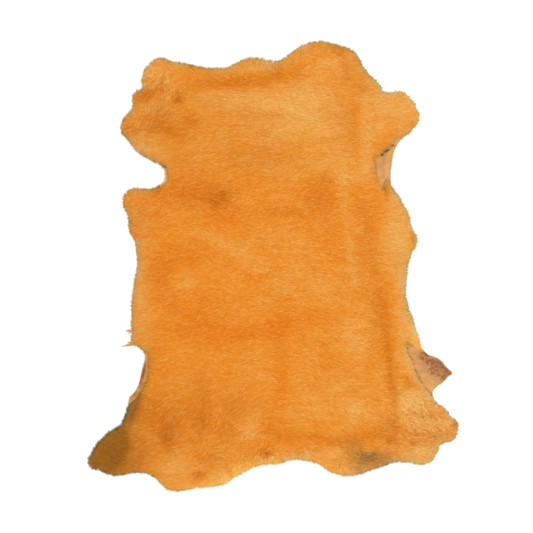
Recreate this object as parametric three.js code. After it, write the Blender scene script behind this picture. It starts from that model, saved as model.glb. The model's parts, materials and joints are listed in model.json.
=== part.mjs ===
// A dyed sheepskin with its wool clipped short, lying flat with the wool up.
// It is one skin and so one solid: a lumpy slab of wool on its hide, with wool locks standing out round
// the rim, flat underneath, and thin where the skin behind the legs has no wool.
// Millimetres. +Z is up, +Y points towards the neck, and the origin is the middle of the skin's box on the
// floor.
import * as THREE from "three";

// Driving dimensions
const HIDE_THICK = 2; // the tanned skin by itself, where it is bare
const WOOL_HEIGHT = 13; // the clipped wool above the skin, over the back
const WOOL_AT_RIM = 3.5; // how much of that is left where the outermost locks are rooted
const SHOULDER = 24; // how far in from the rim the wool reaches its full height
const WOOL_EDGE = { from: -2, to: 5.5 }; // the wool rises between these distances from a bare patch's line

const LOCKS = 300; // wool locks round the rim
const ROOT_INSET = 3.5; // the locks' roots lie this far inside the outline
const LOCK_REACH = { least: 3.5, most: 8 }; // from root to tip, lying on the floor
const LOCK_LEAN = 3.5; // how far a tip wanders along the rim
const LOCK_WANDER = 0.22; // how far a root wanders along the rim, as a share of the spacing
const LOCK_TIP_THICK = 1.6;
const TORN_REACH = { least: 0.6, most: 1.6 }; // the ragged edge of bare skin

const PITCH = 16.5; // spacing of the top's points over the back
const PITCH_WANDER = 3; // how far each of them strays
const CREASE_GAP = 7.5; // the least spacing along a crease
const WOOL_LINE_GAP = 5.5; // the least spacing along a bare patch's line

const rows = (columns, values) =>
  values.map((value) => Object.fromEntries(columns.map((name, k) => [name, value[k]])));
const xy = (...values) => rows(["x", "y"], values);

// Rings of points inside the rim, which carry its rounded shoulder. gap is the least spacing.
const RINGS = rows(["inset", "points", "gap"], [
  [8, 296, 6],
  [16, 256, 9],
  [27, 201, 12.5],
]);

// The outline, clockwise from the left foreleg. x is to the right and y towards the neck.
const NECK_EDGE = xy(
  [-286, 389], [-287, 422], [-270, 446], [-249, 462], [-224, 452], [-189, 447], [-145, 436], [-99, 439],
  [-57, 459], [-24, 458], [0, 450], [26, 459], [66, 488], [101, 496], [154, 484], [185, 472],
  [198, 442], [215, 422], [240, 396],
);
const RIGHT_FORELEG = xy([242, 385], [266, 383], [284, 387], [304, 371], [318, 350], [324, 324], [308, 300]);
const RIGHT_ARMPIT = xy([282, 275], [265, 246], [257, 211], [260, 185]);
const RIGHT_FLANK = xy(
  [284, 143], [300, 112], [310, 79], [322, 59], [308, 31], [298, -4], [294, -66], [308, -114], [323, -158],
);
const RIGHT_GROIN = xy([341, -191], [367, -207], [393, -235], [374, -253], [353, -282]);
const RIGHT_HINDLEG = xy(
  [361, -301], [381, -312], [394, -336], [407, -340], [405, -376], [392, -388], [376, -387], [361, -414],
  [348, -433],
);
const RUMP_EDGE = xy(
  [323, -437], [306, -431], [288, -433], [271, -430], [244, -441], [213, -451], [176, -462], [130, -454],
  [101, -436], [55, -426], [13, -435], [-26, -438], [-73, -460], [-110, -482], [-161, -487], [-220, -496],
);
const LEFT_HINDLEG = xy(
  [-242, -482], [-266, -459], [-297, -455], [-352, -461], [-381, -449], [-406, -441], [-389, -396],
  [-363, -367], [-337, -354], [-321, -319],
);
const LEFT_GROIN = xy([-318, -293], [-297, -266], [-288, -231], [-282, -196], [-290, -179]);
const LEFT_FLANK = xy(
  [-301, -169], [-308, -150], [-311, -114], [-308, -62], [-297, 9], [-301, 51], [-317, 81], [-314, 103],
);
const LEFT_ARMPIT = xy(
  [-330, 145], [-315, 169], [-290, 172], [-264, 170], [-241, 186], [-240, 212], [-260, 232],
);
const LEFT_FORELEG = xy(
  [-288, 246], [-315, 273], [-335, 309], [-306, 354], [-310, 378], [-302, 391], [-292, 384],
);
const OUTLINE = [
  NECK_EDGE, RIGHT_FORELEG, RIGHT_ARMPIT, RIGHT_FLANK, RIGHT_GROIN, RIGHT_HINDLEG,
  RUMP_EDGE, LEFT_HINDLEG, LEFT_GROIN, LEFT_FLANK, LEFT_ARMPIT, LEFT_FORELEG,
].flat();

// Bare skin behind the legs. Each patch runs along its wool line and then closes outside the rim.
const BARE_PATCHES = [
  xy(
    [306, 293], [279, 283], [260, 266], [242, 251], [229, 239], [224, 222], [228, 202], [234, 185],
    [242, 169], [249, 185], [260, 198], [284, 233], [297, 273],
  ),
  xy(
    [293, -167], [315, -179], [339, -194], [376, -189], [416, -238], [376, -290], [352, -289],
    [332, -264], [319, -246], [305, -211], [290, -185],
  ),
  xy(
    [-286, -189], [-273, -198], [-274, -229], [-275, -253], [-288, -279], [-304, -295], [-321, -306],
    [-341, -293], [-310, -251],
  ),
  xy([-249, 227], [-233, 218], [-231, 200], [-234, 183], [-249, 176], [-260, 200]),
];

// Soft troughs and ridges of the wool, each along its own line. rise is negative in a trough.
const creases = (values) =>
  rows(["rise", "width", "line"], values).map((crease) => ({ ...crease, line: xy(...crease.line) }));
const CREASES = creases([
  [-4.5, 13, [
    [218, 392], [213, 277], [218, 167], [233, 35], [242, -97], [262, -251], [271, -361], [255, -409],
  ]],
  [-2.5, 34, [[-238, -158], [-128, -169], [-7, -143], [103, -103], [218, -68]]],
  [-3.5, 18, [[-161, 400], [-77, 409], [-11, 411], [51, 431], [86, 471]]],
  [-5.5, 12, [[-301, 367], [-266, 378], [-235, 396]]],
  [2.2, 12, [[154, 207], [161, 112], [163, 24], [169, -57]]],
  [-1.8, 20, [[9, -174], [15, -251], [13, -328]]],
  [-3, 18, [[59, -378], [158, -385], [257, -374]]],
  [-3, 10, [[99, -378], [90, -409], [86, -431]]],
]);

// Long swells of the wool: each is a wave that runs along angle, in degrees.
const SWELLS = rows(["height", "length", "angle"], [
  [0.8, 230, 20],
  [0.7, 145, 110],
  [0.6, 96, 65],
  [0.55, 71, 150],
  [0.45, 48, 5],
  [0.4, 39, 85],
]);

// Long wisps that stand out of the left flank, by their tips. Each is the nearest lock drawn out to there.
const WISPS = xy([-332, -176], [-322, -147]);

const DEGREE = Math.PI / 180;

// A repeatable number from 0 to 1 for a count n.
function scatter(n) {
  const value = Math.sin(n * 12.9898 + 4.1414) * 43758.5453;
  return value - Math.floor(value);
}

const between = (range, share) => range.least + (range.most - range.least) * share;
const away = (a, b) => Math.hypot(a.x - b.x, a.y - b.y);

// The distance from a point to the piece of line from a to b.
function fromSegment(point, a, b) {
  const dx = b.x - a.x;
  const dy = b.y - a.y;
  const along = ((point.x - a.x) * dx + (point.y - a.y) * dy) / (dx * dx + dy * dy);
  const share = Math.min(1, Math.max(0, along));
  return Math.hypot(point.x - a.x - share * dx, point.y - a.y - share * dy);
}

function fromLine(point, line, closed) {
  let nearest = Infinity;
  for (let i = closed ? 0 : 1; i < line.length; i++) {
    nearest = Math.min(nearest, fromSegment(point, line.at(i - 1), line[i]));
  }
  return nearest;
}

function isInside(point, polygon) {
  let inside = false;
  for (let i = 0; i < polygon.length; i++) {
    const a = polygon.at(i - 1);
    const b = polygon[i];
    const crosses = a.y > point.y !== b.y > point.y;
    if (crosses && point.x < a.x + ((point.y - a.y) / (b.y - a.y)) * (b.x - a.x)) inside = !inside;
  }
  return inside;
}

// Places along a line, evenly spaced but for their wander, each with the direction out to its left.
function walk(line, count, closed, wander = 0) {
  const curve = new THREE.CatmullRomCurve3(
    line.map(({ x, y }) => new THREE.Vector3(x, y, 0)), closed, "centripetal",
  );
  curve.arcLengthDivisions = 4000;
  const places = [];
  for (let i = 0; i < count; i++) {
    const share = closed ? (i + wander * scatter(i + 0.25)) / count : i / (count - 1);
    const at = curve.getPointAt(share);
    const tangent = curve.getTangentAt(share);
    places.push({ x: at.x, y: at.y, left: { x: -tangent.y, y: tangent.x } });
  }
  return places;
}

const lengthOf = (line) => line.slice(1).reduce((sum, point, i) => sum + away(point, line[i]), 0);
const shifted = (place, distance) => ({
  x: place.x + place.left.x * distance,
  y: place.y + place.left.y * distance,
});

// 0 on bare skin, 1 under full wool, and a steep slope between them.
function woolCover(point) {
  let cover = 1;
  for (const patch of BARE_PATCHES) {
    const distance = fromLine(point, patch, true) * (isInside(point, patch) ? -1 : 1);
    const share = THREE.MathUtils.inverseLerp(WOOL_EDGE.from, WOOL_EDGE.to, distance);
    cover = Math.min(cover, THREE.MathUtils.clamp(share, 0, 1));
  }
  return cover;
}

function creaseRise(point) {
  return CREASES.reduce((sum, { rise, width, line }) => {
    const share = fromLine(point, line, false) / width;
    return sum + rise * Math.exp(-share * share);
  }, 0);
}

function swellRise(point) {
  return SWELLS.reduce((sum, { height, length, angle }, i) => {
    const along = point.x * Math.cos(angle * DEGREE) + point.y * Math.sin(angle * DEGREE);
    return sum + height * Math.sin((along / length + scatter(i)) * 2 * Math.PI);
  }, 0);
}

// How high the top stands, in from the line of the locks' roots.
function topHeight(point, rootLine) {
  const inwards = Math.min(1, fromLine(point, rootLine, true) / SHOULDER);
  const rounding = Math.sqrt(1 - (1 - inwards) ** 2);
  const level = WOOL_AT_RIM + (WOOL_HEIGHT - WOOL_AT_RIM) * rounding;
  const relief = (creaseRise(point) + swellRise(point)) * rounding;
  return HIDE_THICK + woolCover(point) * (level + relief);
}

// The outline runs clockwise, so its left is outwards.
const outline = walk(OUTLINE, LOCKS, true, LOCK_WANDER);
const roots = outline.map((place) => shifted(place, -ROOT_INSET));

// One lock stands between each root and the next, and leans a little along the rim.
const lockMiddles = roots.map((root, i) => {
  const next = roots[(i + 1) % LOCKS];
  return { x: (root.x + next.x) / 2, y: (root.y + next.y) / 2 };
});
const nearestLock = (tip) =>
  lockMiddles.reduce((best, middle, i) => (away(tip, middle) < away(tip, lockMiddles[best]) ? i : best), 0);
const wisps = new Map(WISPS.map((tip) => [nearestLock(tip), tip]));

function lockTip(middle, i) {
  if (wisps.has(i)) return wisps.get(i);
  const bare = woolCover(middle) < 0.5;
  const reach = between(bare ? TORN_REACH : LOCK_REACH, scatter(i));
  const lean = bare ? 0 : (scatter(i + LOCKS) * 2 - 1) * LOCK_LEAN;
  const { left } = outline[i];
  return { x: middle.x + left.x * reach - left.y * lean, y: middle.y + left.y * reach + left.x * lean };
}
const tips = lockMiddles.map(lockTip);

// The points of the top: the roots, then both sides of each wool line and crease, the rings, and the back.
function topPoints() {
  const points = roots.map(({ x, y }) => ({ x, y }));
  const add = (point, clearOfRim, spacing) => {
    const wanted = isInside(point, roots) && fromLine(point, roots, true) > clearOfRim;
    if (wanted && points.every((other) => away(other, point) > spacing)) points.push(point);
  };
  const rimGap = RINGS[0].inset * 0.9;
  for (const patch of BARE_PATCHES) {
    const places = walk(patch, Math.round(lengthOf(patch) / WOOL_LINE_GAP), true);
    for (const side of [WOOL_EDGE.to, WOOL_EDGE.from]) {
      places.forEach((place) => add(shifted(place, side), rimGap, WOOL_LINE_GAP));
    }
  }
  for (const { width, line } of CREASES) {
    const places = walk(line, Math.round(lengthOf(line) / PITCH) + 1, false);
    for (const side of [0, width, -width]) {
      places.forEach((place) => add(shifted(place, side), rimGap, CREASE_GAP));
    }
  }
  for (const { inset, points: count, gap } of RINGS) {
    const places = walk(OUTLINE, count, true);
    places.forEach((place) => add(shifted(place, -ROOT_INSET - inset), inset * 0.9, gap));
  }
  const rowStep = (PITCH * Math.sqrt(3)) / 2;
  const reach = Math.max(...roots.map(({ x, y }) => Math.max(Math.abs(x), Math.abs(y))));
  const across = Math.ceil(reach / rowStep);
  for (let row = -across; row <= across; row++) {
    for (let column = -across; column <= across; column++) {
      const count = row * 2 * across + column;
      const x = (column + (row % 2) / 2) * PITCH + scatter(count) * PITCH_WANDER;
      const y = row * rowStep + scatter(count + 0.5) * PITCH_WANDER;
      add({ x, y }, RINGS.at(-1).inset + PITCH / 3, PITCH * 0.6);
    }
  }
  return points;
}

// Triangles over the points in which no point lies inside another triangle's circle.
function delaunay(points) {
  const far = 1e4;
  const all = [...points, { x: -far, y: -far }, { x: far, y: -far }, { x: 0, y: far }];
  const circled = (a, b, c) => {
    const [p, q, r] = [all[a], all[b], all[c]];
    const turn = 2 * ((q.x - p.x) * (r.y - p.y) - (q.y - p.y) * (r.x - p.x));
    const qq = (q.x - p.x) ** 2 + (q.y - p.y) ** 2;
    const rr = (r.x - p.x) ** 2 + (r.y - p.y) ** 2;
    const x = ((r.y - p.y) * qq - (q.y - p.y) * rr) / turn;
    const y = ((q.x - p.x) * rr - (r.x - p.x) * qq) / turn;
    return { corners: [a, b, c], x: p.x + x, y: p.y + y, reach: x * x + y * y };
  };
  const count = points.length;
  let triangles = [circled(count, count + 1, count + 2)];
  for (let i = 0; i < count; i++) {
    const open = new Map();
    const kept = [];
    for (const triangle of triangles) {
      if ((points[i].x - triangle.x) ** 2 + (points[i].y - triangle.y) ** 2 > triangle.reach) {
        kept.push(triangle);
        continue;
      }
      triangle.corners.forEach((a, k) => {
        const b = triangle.corners[(k + 1) % 3];
        if (!open.delete(`${b} ${a}`)) open.set(`${a} ${b}`, [a, b]);
      });
    }
    for (const [a, b] of open.values()) kept.push(circled(a, b, i));
    triangles = kept;
  }
  return triangles.map(({ corners }) => corners).filter((corners) => Math.max(...corners) < count);
}

function middleOf(corners, points) {
  const sum = (axis) => corners.reduce((total, i) => total + points[i][axis], 0) / corners.length;
  return { x: sum("x"), y: sum("y") };
}

function sheepskinGeometry() {
  const top = topPoints();
  const positions = top.flatMap((point) => [point.x, point.y, topHeight(point, roots)]);
  const faces = delaunay(top).filter((corners) => isInside(middleOf(corners, top), roots));

  // The rim alternates between roots and tips. Its lower copy lies on the floor.
  const upperTip = top.length;
  const lowerRoot = upperTip + LOCKS;
  const lowerTip = lowerRoot + LOCKS;
  tips.forEach(({ x, y }) => positions.push(x, y, LOCK_TIP_THICK));
  roots.forEach(({ x, y }) => positions.push(x, y, 0));
  tips.forEach(({ x, y }) => positions.push(x, y, 0));
  for (let i = 0; i < LOCKS; i++) {
    const next = (i + 1) % LOCKS;
    faces.push([i, next, upperTip + i]);
    faces.push([i, upperTip + i, lowerTip + i], [i, lowerTip + i, lowerRoot + i]);
    faces.push([upperTip + i, next, lowerRoot + next], [upperTip + i, lowerRoot + next, lowerTip + i]);
  }
  const floor = roots.flatMap((_, i) => [lowerRoot + i, lowerTip + i]);
  const floorPlan = floor.map((i) => new THREE.Vector2(positions[3 * i], positions[3 * i + 1]));
  for (const corners of THREE.ShapeUtils.triangulateShape(floorPlan, [])) {
    faces.push(corners.map((k) => floor[k]).reverse());
  }

  const geometry = new THREE.BufferGeometry();
  geometry.setAttribute("position", new THREE.Float32BufferAttribute(positions, 3));
  geometry.setIndex(faces.flat());
  geometry.computeBoundingBox();
  const centre = geometry.boundingBox.getCenter(new THREE.Vector3());
  geometry.translate(-centre.x, -centre.y, 0);
  geometry.computeVertexNormals();
  return geometry;
}

const dyedWool = new THREE.MeshStandardMaterial({ color: 0xe4903a, roughness: 0.95, metalness: 0 });

const sheepskin = new THREE.Mesh(sheepskinGeometry(), dyedWool);
sheepskin.name = "sheepskin";

const part = new THREE.Group();
part.add(sheepskin);

export default part;
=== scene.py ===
import functools
import json
import math
import random
from typing import NamedTuple

import bmesh
import bpy
import numpy as np
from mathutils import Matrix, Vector, noise
from mathutils.bvhtree import BVHTree
from mathutils.geometry import delaunay_2d_cdt
from mathutils.kdtree import KDTree

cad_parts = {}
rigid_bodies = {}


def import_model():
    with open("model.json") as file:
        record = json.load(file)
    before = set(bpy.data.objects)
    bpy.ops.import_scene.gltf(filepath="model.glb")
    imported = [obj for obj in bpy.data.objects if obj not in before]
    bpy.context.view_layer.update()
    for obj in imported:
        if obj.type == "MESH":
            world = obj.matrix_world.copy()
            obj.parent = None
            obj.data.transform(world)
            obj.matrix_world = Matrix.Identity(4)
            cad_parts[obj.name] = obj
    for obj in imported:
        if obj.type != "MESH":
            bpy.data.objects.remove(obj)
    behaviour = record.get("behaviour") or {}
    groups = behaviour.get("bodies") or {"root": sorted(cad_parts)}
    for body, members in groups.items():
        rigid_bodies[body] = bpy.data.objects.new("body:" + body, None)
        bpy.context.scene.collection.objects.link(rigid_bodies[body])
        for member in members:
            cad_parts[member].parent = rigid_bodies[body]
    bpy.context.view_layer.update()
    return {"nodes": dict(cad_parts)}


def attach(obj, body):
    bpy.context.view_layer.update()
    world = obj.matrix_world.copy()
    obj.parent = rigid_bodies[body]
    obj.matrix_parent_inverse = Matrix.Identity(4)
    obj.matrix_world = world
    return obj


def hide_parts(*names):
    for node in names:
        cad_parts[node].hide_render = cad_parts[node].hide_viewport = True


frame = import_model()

SKIN = "sheepskin"
MM = 0.001

bl_info = {
    "name": "Sheepskin",
    "version": (1, 0, 0),
    "blender": (4, 5, 0),
    "location": "3D View > Sidebar > Sheepskin",
    "description": "Makes a dyed, clipped sheepskin on its frame",
    "category": "Object",
}


class Zone(NamedTuple):
    """A soft oval on the skin: its middle and half sizes in millimetres, and its turn in degrees."""

    x: float
    y: float
    across: float
    along: float
    turn: float
    amount: float


class Trail(NamedTuple):
    """A soft line on the skin, in millimetres. rise lifts the wool, and tone lightens it: painted light on
    a ridge, and painted shade in a trough where tone is below 0.
    """

    rise: float
    tone: float
    width: float
    line: tuple


# Tone of the dye: below 0 deeper and redder, above 0 lighter and yellower.
TONES = (
    # The neck, the upper back, the forelegs and the rim of the left flank.
    Zone(110, 350, 150, 110, 0, 0.45),
    Zone(-150, 310, 130, 110, 0, 0.25),
    Zone(-290, 275, 44, 40, 0, 0.6),
    Zone(-290, 350, 44, 60, 0, 0.3),
    Zone(-285, 0, 26, 160, 0, 0.3),
    Zone(-270, 430, 40, 30, 0, 0.3),
    Zone(270, 345, 50, 40, 0, 0.4),
    Zone(270, 290, 30, 20, 20, 0.3),
    Zone(100, 220, 130, 30, 0, 0.3),
    Zone(-28, 440, 42, 12, 0, 0.8),
    Zone(-60, 357, 72, 30, 0, 0.6),
    Zone(-125, 382, 30, 16, 0, 0.35),
    Zone(55, 345, 48, 40, 0, 0.75),
    Zone(40, 290, 90, 34, 0, 0.3),
    Zone(-140, 250, 45, 45, 0, 0.25),
    Zone(-235, 420, 50, 34, 0, 0.5),
    Zone(-270, 262, 40, 14, -30, 0.5),
    Zone(-250, 350, 26, 14, 20, 0.4),
    Zone(115, 452, 72, 30, 0, 0.35),
    Zone(60, 390, 60, 30, 0, 0.3),
    Zone(207, 300, 11, 100, 0, 0.5),
    Zone(228, 350, 9, 70, 0, 0.5),
    Zone(290, 340, 26, 45, 0, 0.35),
    Zone(250, 365, 24, 20, 0, 0.3),
    Zone(-80, 403, 88, 15, 2, -0.9),
    Zone(8, 424, 24, 16, 0, -0.6),
    Zone(48, 428, 15, 15, 0, -0.5),
    Zone(-178, 320, 22, 14, -15, -0.9),
    Zone(-250, 310, 50, 24, 0, -0.4),
    # The left shoulder and flank, and a few places on the rump.
    Zone(-180, 165, 62, 32, 0, -1.0),
    Zone(-105, 112, 52, 26, -10, -0.9),
    Zone(-120, 148, 26, 22, 0, -0.6),
    Zone(-235, 95, 20, 32, 15, -0.6),
    Zone(-188, 25, 52, 34, 0, -1.0),
    Zone(-238, -20, 22, 52, 0, -0.8),
    Zone(-150, 195, 80, 30, 0, -0.2),
    Zone(-110, 100, 60, 30, 0, -0.2),
    Zone(-135, 62, 34, 11, -30, 0.65),
    Zone(-75, 30, 40, 12, -25, 0.4),
    Zone(-285, 20, 16, 100, 0, 0.25),
    Zone(-285, -75, 16, 80, 0, 0.6),
    Zone(-186, -34, 44, 24, 22, 0.4),
    Zone(-125, -232, 34, 22, 0, -0.3),
    Zone(-150, -340, 80, 40, 0, -0.25),
    Zone(225, -250, 24, 40, 0, 0.25),
    Zone(-50, -24, 24, 9, -22, -0.8),
    # The right side of the back and the right flank.
    Zone(102, 155, 36, 55, -12, -1.0),
    Zone(128, 60, 28, 48, 0, -0.55),
    Zone(196, 75, 24, 95, 0, -0.15),
    Zone(60, 50, 50, 70, 0, 0.3),
    Zone(140, 200, 60, 40, 0, 0.3),
    Zone(20, 118, 50, 12, 0, -0.4),
    Zone(268, 70, 30, 90, 0, 1.1),
    Zone(278, -70, 20, 95, 0, 1.0),
    Zone(308, -155, 20, 44, 25, 1.0),
    Zone(60, -40, 120, 30, 0, 0.2),
    # The loin, the rump and the left hind leg.
    Zone(-155, -118, 68, 58, 0, -1.1),
    Zone(-200, -72, 30, 16, 0, -0.4),
    Zone(-45, -146, 62, 18, 8, -0.7),
    Zone(70, -118, 66, 20, 12, -0.7),
    Zone(-15, -411, 11, 9, 0, -1.5),
    Zone(14, -140, 24, 44, 0, -0.7),
    Zone(110, -190, 16, 46, 0, -0.4),
    Zone(20, -262, 12, 72, 0, -0.5),
    Zone(178, -162, 36, 52, 0, 0.45),
    Zone(178, -316, 56, 28, 0, 0.6),
    Zone(130, -260, 60, 30, 0, 0.25),
    Zone(60, -310, 30, 30, 0, 0.2),
    Zone(-58, -364, 26, 28, -25, 0.9),
    Zone(-8, -352, 20, 38, 0, -0.7),
    Zone(58, -372, 46, 15, 0, -0.45),
    Zone(-92, -362, 22, 24, 0, -0.5),
    Zone(-262, -325, 18, 35, -20, -0.5),
    Zone(-212, -440, 48, 36, 0, 0.75),
    Zone(-110, -462, 60, 18, 10, 0.8),
    Zone(30, -424, 70, 16, 5, 0.8),
    Zone(70, -118, 50, 14, 12, 0.2),
    Zone(128, -414, 24, 18, -20, 0.7),
    Zone(-160, -458, 14, 8, 0, -0.9),
    # The right hind leg and the wool beside it.
    Zone(350, -345, 66, 44, 0, 1.15),
    Zone(320, -410, 70, 36, 0, 1.05),
    Zone(180, -440, 40, 14, 0, 0.8),
    Zone(225, -425, 60, 12, -8, 0.5),
    Zone(306, -298, 40, 34, 0, 1.9),
    Zone(300, -225, 16, 44, 25, 0.9),
    Zone(345, -342, 50, 12, -5, 0.9),
    Zone(300, -420, 36, 20, 0, 0.4),
    Zone(340, -405, 26, 24, 0, 0.3),
    Zone(292, -257, 7, 14, 0, -0.9),
    Zone(309, -265, 12, 6, 0, -0.9),
    Zone(245, -150, 26, 90, -6, -0.4),
)

# Browner patches and small stains in the wool.
SMUDGES = (
    Zone(-150, 300, 120, 120, 0, 0.2),
    Zone(-290, 120, 34, 80, 0, 0.3),
    Zone(-300, 310, 44, 60, 0, 0.25),
    Zone(-280, -40, 26, 120, 0, 0.25),
    Zone(-260, -200, 40, 50, 0, 0.2),
    Zone(-170, -330, 110, 90, 0, 0.25),
    Zone(-80, 403, 84, 14, 2, 0.45),
    Zone(6, 426, 22, 16, 0, 0.5),
    Zone(52, 422, 10, 14, -30, 0.35),
    Zone(142, 474, 32, 6, -6, 0.5),
    Zone(152, 452, 8, 26, 18, 0.4),
    Zone(158, 422, 18, 26, 0, 0.25),
    Zone(190, 392, 15, 20, 0, 0.4),
    Zone(158, 320, 24, 55, 0, 0.25),
    Zone(0, 331, 48, 7, 0, 0.3),
    Zone(-10, 240, 58, 40, 0, 0.3),
    Zone(-85, 238, 18, 22, 0, 0.2),
    Zone(-203, 371, 11, 13, 0, 1.05),
    Zone(-268, 382, 34, 11, 28, 0.8),
    Zone(-242, 325, 32, 36, 0, 0.5),
    Zone(-212, 297, 30, 14, -20, 0.4),
    Zone(-285, 302, 36, 9, 0, 0.4),
    Zone(-178, 320, 20, 12, -15, 0.45),
    Zone(-205, 225, 40, 30, 0, 0.15),
    Zone(-250, 165, 10, 13, 0, 0.9),
    Zone(-180, 162, 60, 30, 0, 0.3),
    Zone(-115, 147, 12, 17, -20, 1.0),
    Zone(-124, 150, 32, 24, 0, 0.45),
    Zone(-93, 162, 20, 10, 10, 0.35),
    Zone(25, 117, 46, 11, 0, 0.3),
    Zone(102, 155, 32, 46, -12, 0.25),
    Zone(200, 20, 24, 55, 0, 0.2),
    Zone(202, 95, 15, 32, 0, 0.2),
    Zone(190, 130, 14, 24, 0, 0.25),
    Zone(264, 12, 16, 26, 0, 0.25),
    Zone(306, 62, 8, 12, 0, 0.4),
    Zone(265, 102, 28, 5, -15, 0.2),
    Zone(-238, -20, 22, 46, 0, 0.2),
    Zone(224, -60, 20, 60, 0, 0.12),
    Zone(230, -120, 22, 60, 3, 0.25),
    Zone(60, -376, 50, 13, 0, 0.25),
    Zone(255, -250, 8, 100, 6, 0.6),
    Zone(250, -344, 18, 15, 0, 0.45),
    Zone(215, -371, 66, 14, 5, 0.45),
    Zone(255, -385, 14, 9, 0, 1.1),
    Zone(130, -386, 24, 8, 0, 0.5),
    Zone(2, -356, 13, 17, 0, 0.4),
    Zone(-16, -410, 10, 8, 0, 2.2),
    Zone(60, -412, 11, 6, 0, 0.4),
    Zone(-235, -332, 72, 66, 0, 0.3),
    Zone(-228, -368, 20, 36, 8, 0.75),
    Zone(-262, -322, 16, 34, -20, 0.3),
    Zone(-150, -290, 14, 50, 6, 0.35),
    Zone(-155, -338, 17, 20, 0, 0.45),
    Zone(-82, -312, 34, 22, 0, 0.35),
    Zone(-92, -362, 22, 22, 0, 0.2),
    Zone(-138, -426, 30, 17, 0, 0.4),
    Zone(-159, -457, 11, 6, 0, 1.2),
    Zone(-284, -418, 24, 32, 0, 0.5),
    Zone(299, -262, 9, 8, 0, 0.5),
    Zone(286, -250, 5, 15, 0, 0.4),
    Zone(334, -325, 32, 6, -5, 0.4),
    Zone(346, -376, 34, 18, 0, 0.45),
    Zone(300, -386, 10, 12, 0, 0.5),
    Zone(397, -350, 8, 8, 0, 0.8),
    Zone(280, -422, 20, 8, 0, 0.3),
    Zone(247, 165, 5, 18, -12, 0.8),
)

# Wool soiled dark at the left hind leg.
SOILED = (
    Zone(-368, -415, 56, 52, 0, 1.2),
    Zone(-318, -400, 48, 46, 0, 0.42),
    Zone(-320, -345, 22, 60, -34, 0.68),
    Zone(-286, -265, 13, 60, -16, 0.6),
    Zone(-306, -312, 18, 26, -30, 0.65),
)

# The olive stains at the bottom edge and on the left hind leg.
OLIVE = (
    Zone(212, -420, 42, 15, -4, 1.15),
    Zone(172, -392, 22, 18, 0, 0.45),
    Zone(185, -440, 24, 10, 0, 0.45),
    Zone(-311, -322, 10, 26, -30, 0.4),
)

# Stains on the bare skin.
SKIN_STAINS = (
    Zone(360, -228, 26, 16, -28, 0.5),
    Zone(354, -212, 24, 8, -20, 1.4),
    Zone(330, -203, 12, 5, -30, 0.5),
    Zone(378, -219, 12, 5, -50, 1.2),
    Zone(386, -235, 10, 6, 0, 1.3),
    Zone(380, -244, 14, 5, 38, 1.2),
    Zone(355, -236, 14, 7, -30, 0.7),
    Zone(-286, -232, 4, 20, -12, 1.1),
    Zone(-293, -256, 4, 18, -18, 1.0),
    Zone(-306, -284, 6, 12, -45, 0.7),
    Zone(240, 232, 10, 22, -8, 0.2),
)

# Painted shade in the gaps between the wool and the bare skin, and in partings of the wool.
SHADED_SLITS = (
    Zone(301, -172, 6, 2.0, -38, 1.3),
    Zone(295, -181, 4, 2.4, -38, 1.3),
    Zone(298, -193, 1.6, 3, 20, 0.8),
    Zone(303, -201, 1.8, 6, 32, 1.0),
    Zone(309, -217, 2.2, 3, 30, 0.8),
    Zone(314, -231, 2.2, 7, 26, 0.8),
    Zone(322, -246, 2.6, 4, 40, 0.7),
    Zone(326, -255, 2.6, 4, 40, 0.6),
    Zone(340, -272, 2.0, 9, 42, 0.5),
    Zone(349, -283, 1.8, 6, 38, 0.6),
    Zone(328, -192, 4, 1.6, -22, 0.9),
    Zone(338, -196, 5, 1.8, -42, 1.2),
    Zone(251, 254, 8, 2.4, 26, 1.4),
    Zone(241, 245, 3.5, 2.8, 26, 1.2),
    Zone(264, 265, 5, 2.0, 15, 1.2),
    Zone(227, 215, 2.0, 22, 0, 0.5),
    Zone(250, 190, 2.0, 9, -30, 0.5),
    Zone(246, 174, 2.2, 10, 0, 0.5),
    Zone(-240, 221, 8, 3.0, -35, 1.4),
    Zone(-232, 205, 2.5, 12, 8, 0.7),
    Zone(-184, 440, 1.5, 8, 26, 1.0),
    Zone(-92, -466, 1.3, 6, 40, 0.9),
    Zone(-82, 384, 30, 1.2, -3, 0.3),
    Zone(-190, 286, 1.2, 16, -15, 0.3),
    Zone(-274, -196, 3, 7, 20, 0.6),
    Zone(-280, -258, 2.2, 12, -30, 0.8),
    Zone(-294, -280, 2.2, 9, -40, 0.7),
    Zone(-283, -226, 1.4, 15, -8, 0.6),
    Zone(-288, -262, 1.4, 12, -30, 0.6),
)

# Where the rim is pale rather than olive.
PALE_RIM = (
    Zone(-90, -460, 130, 50, 10, 1.0),
    Zone(130, -440, 60, 30, 0, 0.6),
    Zone(310, 80, 50, 120, 0, 0.35),
    Zone(300, 340, 50, 60, 0, 0.4),
    Zone(330, -360, 80, 90, 0, 0.4),
    Zone(315, -160, 24, 36, 0, 0.55),
)

# How far the bare skin stands out past the CAD solid's rim: amount is in millimetres.
HIDE_EDGE = (
    Zone(254, 214, 20, 44, 0, 6.5),
    Zone(-290, -245, 22, 48, -15, 2.8),
    Zone(-311, -293, 4, 5, 0, 5.0),
    Zone(390, -234, 8, 8, 0, 2.0),
    Zone(387, -235.5, 3, 3, 0, 6.0),
    Zone(362, -208, 26, 14, -30, 5.0),
    Zone(374, -256, 14, 18, -20, 6.0),
)
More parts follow.
